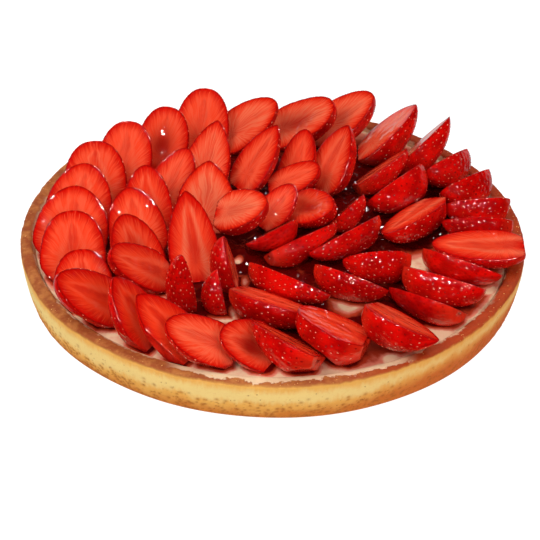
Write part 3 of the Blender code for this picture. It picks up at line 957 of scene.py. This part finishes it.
# The cream, with the red juice and glaze that stand between the berries, darkened there to near-black as
# painted shade
creamShape = {
    "level": 18.5,
    "bottom": 5.3,
    "bottomRadius": 107.6,
    "radius": 112.6,
    "rings": 150,
    "turns": 560,
    "film": 0.15,
    "meniscus": 1.5,
    "meniscusReach": 1.3,
    "lumpSize": 9.0,
    "lumpHeight": 2.6,
}
creamPatches = (  # where the cream shows between berries: x, y, radius
    (-52, -50, 7), (-20, -68, 6), (-16, -23, 2.2), (-15, -40, 4), (36, -55, 8), (70, -22, 8),
    (76, -76, 7), (54, -98, 6), (100, -41, 5),
)
creamColours = {
    "cream": (0.97, 0.68, 0.43),
    "pink": (0.84, 0.25, 0.16),
    "stain": (0.52, 0.050, 0.018),
    # near-black red glaze: painted shade in the hollows between the berries
    "shadeJuice": (0.09, 0.0008, 0.0007),
}


def creamMaterial():
    s = Shader("glazedCream")
    stainAndShade = s.attribute("stainAndShadeAmount")
    mottled = s.noise(s.place(), 220.0, 3.0, 0.6)
    drift = s.noise(s.place(), 70.0, 3.0, 0.6)
    stainAndShade = s.add(stainAndShade, s.times(s.minus(mottled, 0.5), 0.35))
    stainAndShade = s.add(stainAndShade, s.times(s.minus(drift, 0.5), 0.9), clamp=True)
    colour = s.mix(s.step(stainAndShade, 0.02, 0.30), creamColours["cream"], creamColours["pink"])
    colour = s.mix(s.step(stainAndShade, 0.30, 0.60), colour, creamColours["stain"])
    # painted shade: the near-black glaze where the hollows between berries lie in shadow
    colour = s.mix(s.step(stainAndShade, 0.60, 0.95), colour, creamColours["shadeJuice"])
    s.set(Base_Color=colour, Roughness=0.5, Specular_IOR_Level=0.0)
    s.set(Coat_Weight=1.0, Coat_Roughness=0.05)
    s.set(Normal=s.bump(mottled, 0.25, 0.0004))
    return s.material


def makeCream():
    shape = creamShape
    rings, turns = shape["rings"], shape["turns"]
    radii = np.linspace(0.4, shape["radius"], rings)
    angles = np.linspace(0, 2 * math.pi, turns, endpoint=False)
    spot = np.stack([np.outer(radii, np.cos(angles)).ravel(), np.outer(radii, np.sin(angles)).ravel()], 1)
    away = np.full(len(spot), 50.0)
    level = shape["level"] + 0.9
    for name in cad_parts:
        if not name.startswith("strawberry"):
            continue
        node, planes = nodePlanes(name)
        low, high = node.min(0) - 8, node.max(0) + 8
        near = np.nonzero(((spot > low[:2]) & (spot < high[:2])).all(1))[0]
        if node[:, 2].min() > level + 2 or not len(near):
            continue
        place = np.concatenate([spot[near], np.full((len(near), 1), level)], 1)
        ways = np.array([way for way, _ in planes])
        limits = np.array([limit for _, limit in planes])
        distance = (place @ ways.T - limits).max(1)
        away[near] = np.minimum(away[near], distance)
    outside = np.maximum(away, 0)
    height = shape["level"] + shape["film"] + shape["meniscus"] * np.exp(-outside / shape["meniscusReach"])
    radius = np.hypot(spot[:, 0], spot[:, 1])
    bare = np.clip((radius - 90) / 14, 0, 1)
    # to the right and behind, the rim's inside is soaked too
    bare *= 1 - 0.7 * np.clip((spot[:, 0] - 10) / 50, 0, 1) * np.clip((112.5 - radius) / 4, 0, 1)
    for x, y, size in creamPatches:
        bare = np.maximum(bare, np.clip(1.6 - np.hypot(spot[:, 0] - x, spot[:, 1] - y) / size, 0, 1))
    # bare cream only in the open patches; elsewhere the red stain, and close to the berries the near-black
    # painted shade
    stainAndShade = 1 - bare * np.clip((outside - 0.3) / 2.2, 0, 1)
    # glaze heaped over scraps of fruit where nothing is bare
    flat = np.concatenate([spot, np.zeros((len(spot), 1))], 1)
    lumps = fineNoise(flat, shape["lumpSize"], 21.0) + 0.4 * fineNoise(flat, 0.4 * shape["lumpSize"], 5.0)
    heaped = (1 - bare) * np.clip((outside - 0.5) / 3.0, 0, 1) * np.clip((95 - radius) / 10, 0, 1)
    height += shape["lumpHeight"] * heaped * np.clip(lumps + 0.5, 0, 1.4)
    top = np.concatenate([spot, height[:, None]], 1)
    low = shape["bottomRadius"]
    lowRing = np.stack([low * np.cos(angles), low * np.sin(angles), np.full(turns, shape["bottom"])], 1)
    points = np.concatenate([top, lowRing, [[0, 0, height[0]], [0, 0, shape["bottom"]]]])
    faces = [(a, d, c, b) for a, b, c, d in ringFaces(rings, turns)]
    last, floor = (rings - 1) * turns, rings * turns
    for k in range(turns):
        after = (k + 1) % turns
        faces.append((last + k, floor + k, floor + after, last + after))
        faces.append((len(points) - 2, k, after))
        faces.append((len(points) - 1, floor + after, floor + k))
    cream = meshObject("creamFilling", points * mm, faces, [creamMaterial()])
    if bmeshVolume(cream.data) < 0:
        cream.data.flip_normals()
    addAttribute(cream.data, "stainAndShadeAmount", np.concatenate([stainAndShade, np.zeros(turns), [stainAndShade[0], 0]]))
    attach(cream, "root")
    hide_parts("cream")
    print("cream:", len(cream.data.polygons), "faces")


# The studio
studio = {
    "elevation": 32.9,
    "distance": 0.95,
    "aim": (0.0, 0.0, 0.02),
    "lens": 132.3,
    "roll": 1.25,
    "shift": (-0.0037, -0.0667),
    "floor": (0.25, 0.25, 0.25),
    "floorGlow": 0.93,
    "skyDiffuse": 0.40,
    "bounceDiffuse": 0.92,
    "skyGloss": 0.015,
    "backGloss": 0.6,
    "softLamps": (  # name, place, width, height, watts
        ("softKey", (-0.7, -0.45, 1.0), 0.9, 0.7, 7.5),
        ("softTop", (0.1, 0.3, 1.3), 1.2, 1.0, 5.0),
        ("softFront", (0.55, -0.95, 0.75), 0.7, 0.5, 5.0),
    ),
    "glintLamps": (  # name, place, size, watts
        ("glintLeft", (-0.50, -0.05, 0.80), 0.05, 2.0),
        ("glintHigh", (0.12, -0.12, 0.97), 0.06, 3.0),
        ("glintRight", (0.35, 0.25, 0.95), 0.08, 4.0),
        ("glintLow", (-0.50, -0.85, 0.45), 0.08, 4.5),
        ("glintFar", (0.45, -0.90, 0.40), 0.07, 2.5),
    ),
}


def placeCamera():
    data = bpy.data.cameras.new("photoCamera")
    data.sensor_width = 36.0
    data.lens = studio["lens"]
    data.shift_x, data.shift_y = studio["shift"]
    data.clip_start, data.clip_end = 0.05, 20.0
    camera = addObject("photoCamera", data)
    lift = math.radians(studio["elevation"])
    back = Vector((0.0, -math.cos(lift), math.sin(lift)))
    camera.location = Vector(studio["aim"]) + back * studio["distance"]
    roll = Matrix.Rotation(math.radians(studio["roll"]), 3, "Z").to_quaternion()
    camera.rotation_mode = "QUATERNION"
    camera.rotation_quaternion = (-back).to_track_quat("-Z", "Y") @ roll
    bpy.context.scene.camera = camera


def placeLamp(name, where, width, height, power):
    data = bpy.data.lights.new(name, "AREA")
    data.shape = "RECTANGLE"
    data.size, data.size_y = width, height
    data.energy = power
    lamp = addObject(name, data)
    lamp.location = where
    lamp.rotation_mode = "QUATERNION"
    lamp.rotation_quaternion = (Vector(studio["aim"]) - Vector(where)).to_track_quat("-Z", "Y")
    lamp.visible_glossy = False  # soft light only, with no broad sheen on the glaze
    lamp.visible_camera = False
    return lamp


def placeGlint(name, where, size, power):
    # A small bright lamp that shows in the wet glaze and lights nothing else.
    lamp = placeLamp(name, where, size, size, power)
    lamp.visible_glossy = True
    lamp.visible_diffuse = False


def makeWorld():
    # White to the camera, an even dome to diffuse light, and a low glow behind for the glaze.
    world = bpy.data.worlds.new("studioWorld")
    bpy.context.scene.world = world
    world.use_nodes = True
    tree = world.node_tree
    tree.nodes.clear()
    rays = addNode(tree, "ShaderNodeLightPath")
    way = addNode(tree, "ShaderNodeTexCoord").outputs["Generated"]
    _, north, height = addNode(tree, "ShaderNodeSeparateXYZ", {0: way}).outputs
    low = addNode(tree, "ShaderNodeMapRange", {
        0: height, 1: 0.28, 2: 0.05, 3: studio["skyGloss"], 4: studio["backGloss"],
    }, interpolation_type="SMOOTHSTEP")
    backward = addNode(tree, "ShaderNodeMapRange", {
        0: north, 1: 0.2, 2: 0.75, 3: 0.0, 4: 1.0}, interpolation_type="SMOOTHSTEP")
    gloss = addNode(tree, "ShaderNodeMath", {0: low.outputs[0], 1: backward.outputs[0]}, operation="MULTIPLY")
    dome = addNode(tree, "ShaderNodeMapRange", {
        0: height, 1: -0.15, 2: 0.15, 3: studio["bounceDiffuse"], 4: studio["skyDiffuse"]})
    strength = addNode(tree, "ShaderNodeMix", {
        0: rays.outputs["Is Glossy Ray"], 2: dome.outputs[0], 3: gloss.outputs[0]}, data_type="FLOAT")
    seen = addNode(tree, "ShaderNodeMix", {
        0: rays.outputs["Is Camera Ray"], 2: strength.outputs[0], 3: 1.0}, data_type="FLOAT")
    background = addNode(tree, "ShaderNodeBackground", {
        "Color": (1.0, 1.0, 1.0, 1.0), "Strength": seen.outputs[0]})
    addNode(tree, "ShaderNodeOutputWorld", {0: background.outputs[0]})


def makeStudio():
    makeWorld()
    s = Shader("paleFloor")
    s.set(Base_Color=(*studio["floor"], 1.0), Roughness=0.9, Specular_IOR_Level=0.0)
    s.set(Emission_Color=(1.0, 1.0, 1.0, 1.0), Emission_Strength=studio["floorGlow"])
    corners = [(-6, -6, 0), (6, -6, 0), (6, 6, 0), (-6, 6, 0)]
    floor = meshObject("studioFloor", corners, [(0, 1, 2, 3)], [s.material], False)
    floor.data.transform(Matrix.Translation((0, 0, -0.0002)))
    floor.visible_diffuse = False  # the dome below the horizon gives an even bounce instead
    floor.visible_glossy = False
    for name, where, width, height, power in studio["softLamps"]:
        placeLamp(name, where, width, height, power)
    for name, where, size, power in studio["glintLamps"]:
        placeGlint(name, where, size, power)
    scene = bpy.context.scene
    scene.view_settings.view_transform = "Standard"
    scene.view_settings.look = "None"
    scene.view_settings.exposure = 0.0
    scene.view_settings.gamma = 1.0


makeStudio()
placeCamera()
makeCrumbs(makeCrust())
makeCream()
makeStrawberries()
